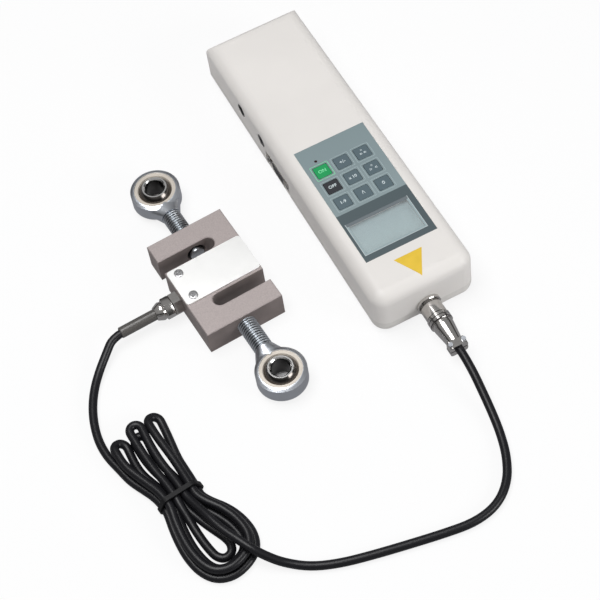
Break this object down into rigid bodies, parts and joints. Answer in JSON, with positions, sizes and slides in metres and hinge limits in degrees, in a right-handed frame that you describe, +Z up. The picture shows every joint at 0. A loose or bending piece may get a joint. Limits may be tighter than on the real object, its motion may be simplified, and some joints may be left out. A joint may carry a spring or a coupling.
{
  "type": "force gauge",
  "caption": "Hand-held force gauge: display unit with keypad, screw-plug cable and coil, and an S-type load cell with a ball-jointed rod end at each side.",
  "frame": {"origin": "middle of the display unit's flat back, on the surface that everything lies on", "axes": "+Y along the display unit to the end away from the plug, +X to the right of someone reading it, +Z up out of the display"},
  "size_m": [0.2425, 0.3652, 0.0362],
  "materials": {
    "case_plastic": "fine texture, off-white ABS",
    "overlay_film": "matt printed polyester film",
    "window_film": "clear polyester",
    "key_green": "matt, green",
    "key_black": "matt, near black",
    "key_slate": "matt, slate grey",
    "led_lens": "clear red",
    "sticker_film": "smooth vinyl, yellow",
    "dark_plastic": "moulded, black",
    "lcd_glass": "smooth",
    "board_laminate": "solder resist, green",
    "battery_sleeve": "shrink sleeve, blue",
    "foam": "soft foam",
    "nickel": "nickel plated, bright",
    "brass": "turned",
    "zinc_steel": "zinc plated",
    "cell_metal": "milled and nickel plated, satin",
    "cover_plate": "smooth, bright",
    "gauge_foil": "backed foil",
    "race_bronze": "turned bronze",
    "ball_steel": "ground",
    "cable_jacket": "smooth PVC, black",
    "tie_plastic": "moulded"
  },
  "bodies": {
    "gauge": {"front_shell": "case_plastic", "rear_shell": "case_plastic", "case_screws": "zinc_steel", "mounting_inserts": "brass", "keypad_overlay": "overlay_film", "lcd_window": "window_film", "status_led": "led_lens", "triangle_sticker": "sticker_film", "lcd_frame": "dark_plastic", "lcd_glass": "lcd_glass", "keypad_board": "board_laminate", "tact_switches": "dark_plastic", "keypad_board_screws": "zinc_steel", "main_board": "board_laminate", "main_board_screws": "zinc_steel", "board_chips": "dark_plastic", "board_header": "dark_plastic", "buzzer": "dark_plastic", "battery_cells": "battery_sleeve", "battery_foam": "foam", "power_jack": "dark_plastic", "signal_jack": "dark_plastic", "data_connector_shell": "nickel", "data_connector_body": "dark_plastic", "data_connector_posts": "nickel", "panel_socket": "nickel", "panel_socket_insert": "dark_plastic", "panel_nut": "nickel", "plug_shell": "nickel", "plug_clamp": "nickel", "plug_clamp_screws": "zinc_steel", "plug_insert": "dark_plastic", "cell_block": "cell_metal", "cell_cover": "cover_plate", "cell_base_cover": "cover_plate", "cover_screws": "zinc_steel", "strain_gauges": "gauge_foil", "gland_body": "nickel", "gland_nut": "nickel", "cable_sleeve": "cable_jacket", "cable_to_plug": "cable_jacket", "cable_to_cell": "cable_jacket", "cable_hank": "cable_jacket", "cable_tie": "tie_plastic"},
    "key_on": {"key_on": "key_green"},
    "key_set": {"key_set": "key_slate"},
    "key_print": {"key_print": "key_slate"},
    "key_off": {"key_off": "key_black"},
    "key_unit": {"key_unit": "key_slate"},
    "key_save": {"key_save": "key_slate"},
    "key_memo": {"key_memo": "key_slate"},
    "key_peak": {"key_peak": "key_slate"},
    "key_zero": {"key_zero": "key_slate"},
    "coupling_ring": {"coupling_ring": "nickel"},
    "upper_eye": {"upper_rod_end_housing": "zinc_steel", "upper_rod_end_race": "race_bronze"},
    "upper_ball": {"upper_rod_end_ball": "ball_steel"},
    "lower_eye": {"lower_rod_end_housing": "zinc_steel", "lower_rod_end_race": "race_bronze"},
    "lower_ball": {"lower_rod_end_ball": "ball_steel"}
  },
  "joints": [
    {"name": "on_press", "type": "slide", "parent": "gauge", "child": "key_on", "axis": [0, 0, -1], "range_m": [0, 0.0004], "stiffness_N_per_m": 2000},
    {"name": "set_press", "type": "slide", "parent": "gauge", "child": "key_set", "axis": [0, 0, -1], "range_m": [0, 0.0004], "stiffness_N_per_m": 2000},
    {"name": "print_press", "type": "slide", "parent": "gauge", "child": "key_print", "axis": [0, 0, -1], "range_m": [0, 0.0004], "stiffness_N_per_m": 2000},
    {"name": "off_press", "type": "slide", "parent": "gauge", "child": "key_off", "axis": [0, 0, -1], "range_m": [0, 0.0004], "stiffness_N_per_m": 2000},
    {"name": "unit_press", "type": "slide", "parent": "gauge", "child": "key_unit", "axis": [0, 0, -1], "range_m": [0, 0.0004], "stiffness_N_per_m": 2000},
    {"name": "save_press", "type": "slide", "parent": "gauge", "child": "key_save", "axis": [0, 0, -1], "range_m": [0, 0.0004], "stiffness_N_per_m": 2000},
    {"name": "memo_press", "type": "slide", "parent": "gauge", "child": "key_memo", "axis": [0, 0, -1], "range_m": [0, 0.0004], "stiffness_N_per_m": 2000},
    {"name": "peak_press", "type": "slide", "parent": "gauge", "child": "key_peak", "axis": [0, 0, -1], "range_m": [0, 0.0004], "stiffness_N_per_m": 2000},
    {"name": "zero_press", "type": "slide", "parent": "gauge", "child": "key_zero", "axis": [0, 0, -1], "range_m": [0, 0.0004], "stiffness_N_per_m": 2000},
    {"name": "coupling_ring_turn", "type": "hinge", "parent": "gauge", "child": "coupling_ring", "pos_m": [0, -0.125, 0.0125], "axis": [0, 1, 0], "range_deg": [-720, 0]},
    {"name": "upper_eye_turn", "type": "hinge", "parent": "gauge", "child": "upper_eye", "pos_m": [-0.1044, 0.04338, 0.00953], "axis": [-0.0549, 0.9985, 0], "range_deg": [-180, 180]},
    {"name": "upper_ball_tilt", "type": "hinge", "parent": "upper_eye", "child": "upper_ball", "pos_m": [-0.1044, 0.04338, 0.00953], "axis": [0.9985, 0.0549, 0], "range_deg": [-13, 13]},
    {"name": "lower_eye_turn", "type": "hinge", "parent": "gauge", "child": "lower_eye", "pos_m": [-0.09583, -0.11248, 0.00953], "axis": [-0.0549, 0.9985, 0], "range_deg": [-180, 180]},
    {"name": "lower_ball_tilt", "type": "hinge", "parent": "lower_eye", "child": "lower_ball", "pos_m": [-0.09583, -0.11248, 0.00953], "axis": [0.9985, 0.0549, 0], "range_deg": [-13, 13]}
  ]
}
